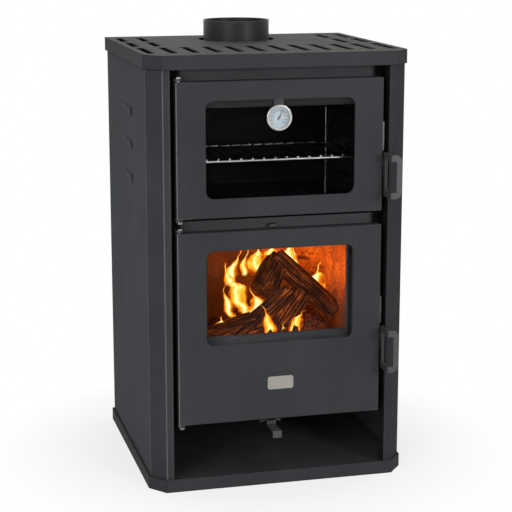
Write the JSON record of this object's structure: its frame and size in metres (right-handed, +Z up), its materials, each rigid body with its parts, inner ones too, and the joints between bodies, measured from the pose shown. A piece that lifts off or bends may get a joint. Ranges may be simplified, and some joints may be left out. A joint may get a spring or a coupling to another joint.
{
  "type": "wood cookstove",
  "caption": "Upright sheet-steel wood cookstove with a glazed oven above a glazed firebox, slotted top plate, flue collar and open wood niche.",
  "frame": {"origin": "middle of the footprint of the base, on the floor", "axes": "+Z up, -Y towards the doors, +X to the right seen from the front"},
  "size_m": [0.52, 0.521, 0.89],
  "materials": {
    "casing_paint": "fine-textured anthracite stove paint",
    "handle_paint": "satin anthracite stove paint",
    "black_steel": "matt black heat-proof paint",
    "oven_enamel": "black enamel",
    "zinc_steel": "zinc plated",
    "pin_steel": "bare turned steel",
    "rack_chrome": "bright plating",
    "gauge_chrome": "bright plating",
    "grate_iron": "raw casting",
    "firebrick": "rough fired clay",
    "rope_seal": "braided glass-fibre rope",
    "door_glass": "clear heat-proof glass",
    "dial_white": "white with dark numbers",
    "needle_paint": "orange-brown with a dark tip",
    "badge_metal": "brushed, bare"
  },
  "bodies": {
    "stove_body": {"top_plate": "casing_paint", "base_skirt": "casing_paint", "niche_floor": "casing_paint", "left_pillar": "casing_paint", "right_pillar": "casing_paint", "left_side_panel": "casing_paint", "right_side_panel": "casing_paint", "back_panel": "casing_paint", "back_panel_screws": "zinc_steel", "front_frame": "casing_paint", "body_side_walls": "black_steel", "body_back_wall": "black_steel", "body_top": "black_steel", "body_floor": "black_steel", "body_rear_supports": "black_steel", "flue_collar": "casing_paint", "oven_floor": "oven_enamel", "oven_ceiling": "oven_enamel", "oven_side_walls": "oven_enamel", "oven_back_wall": "oven_enamel", "oven_runners": "rack_chrome", "hearth_plate": "black_steel", "fire_grate": "grate_iron", "side_firebricks": "firebrick", "back_firebricks": "firebrick", "firebrick_plate": "black_steel", "primary_air_box": "black_steel", "secondary_air_guide": "black_steel", "hinge_lugs": "casing_paint", "hinge_pins": "pin_steel", "latch_keepers": "black_steel"},
    "oven_door": {"oven_door_panel": "casing_paint", "oven_door_inner_frame": "black_steel", "oven_door_rope_seal": "rope_seal", "oven_glass_seal": "rope_seal", "oven_door_glass": "door_glass", "oven_glass_clips": "zinc_steel", "oven_clip_screws": "zinc_steel", "oven_handle_pin": "zinc_steel", "thermometer_bracket": "gauge_chrome", "thermometer_case": "gauge_chrome", "thermometer_dial": "dial_white", "thermometer_lens": "door_glass"},
    "oven_handle": {"oven_handle": "handle_paint"},
    "needle": {"thermometer_needle": "needle_paint"},
    "firebox_door": {"firebox_door_panel": "casing_paint", "firebox_door_inner_frame": "black_steel", "firebox_door_rope_seal": "rope_seal", "firebox_glass_seal": "rope_seal", "firebox_door_glass": "door_glass", "firebox_glass_clips": "zinc_steel", "firebox_clip_screws": "zinc_steel", "firebox_handle_pin": "zinc_steel", "badge_plate": "badge_metal"},
    "firebox_handle": {"firebox_handle": "handle_paint"},
    "rack": {"oven_rack": "rack_chrome"},
    "ash_pan": {"ash_pan": "black_steel"},
    "primary_air": {"primary_air_slide": "handle_paint"},
    "secondary_air": {"secondary_air_slide": "handle_paint"}
  },
  "joints": [
    {"name": "oven_door_hinge", "type": "hinge", "parent": "stove_body", "child": "oven_door", "pos_m": [-0.197, -0.226, 0.6705], "axis": [0, 0, -1], "range_deg": [0, 110]},
    {"name": "firebox_door_hinge", "type": "hinge", "parent": "stove_body", "child": "firebox_door", "pos_m": [-0.197, -0.226, 0.3235], "axis": [0, 0, -1], "range_deg": [0, 110]},
    {"name": "oven_latch", "type": "hinge", "parent": "oven_door", "child": "oven_handle", "pos_m": [0.2075, -0.224, 0.6325], "axis": [-1, 0, 0], "range_deg": [0, 18]},
    {"name": "firebox_latch", "type": "hinge", "parent": "firebox_door", "child": "firebox_handle", "pos_m": [0.2075, -0.224, 0.286], "axis": [-1, 0, 0], "range_deg": [0, 18]},
    {"name": "oven_rack_slide", "type": "slide", "parent": "stove_body", "child": "rack", "axis": [0, -1, 0], "range_m": [0, 0.02]},
    {"name": "ash_pan_slide", "type": "slide", "parent": "stove_body", "child": "ash_pan", "axis": [0, -1, 0], "range_m": [0, 0.02]},
    {"name": "primary_air_pull", "type": "slide", "parent": "stove_body", "child": "primary_air", "axis": [0, -1, 0], "range_m": [0, 0.03]},
    {"name": "secondary_air_push", "type": "slide", "parent": "stove_body", "child": "secondary_air", "axis": [-1, 0, 0], "range_m": [0, 0.02]},
    {"name": "thermometer_turn", "type": "hinge", "parent": "oven_door", "child": "needle", "pos_m": [-0.001, -0.2202, 0.727], "axis": [0, 1, 0], "range_deg": [-165, 105]}
  ]
}
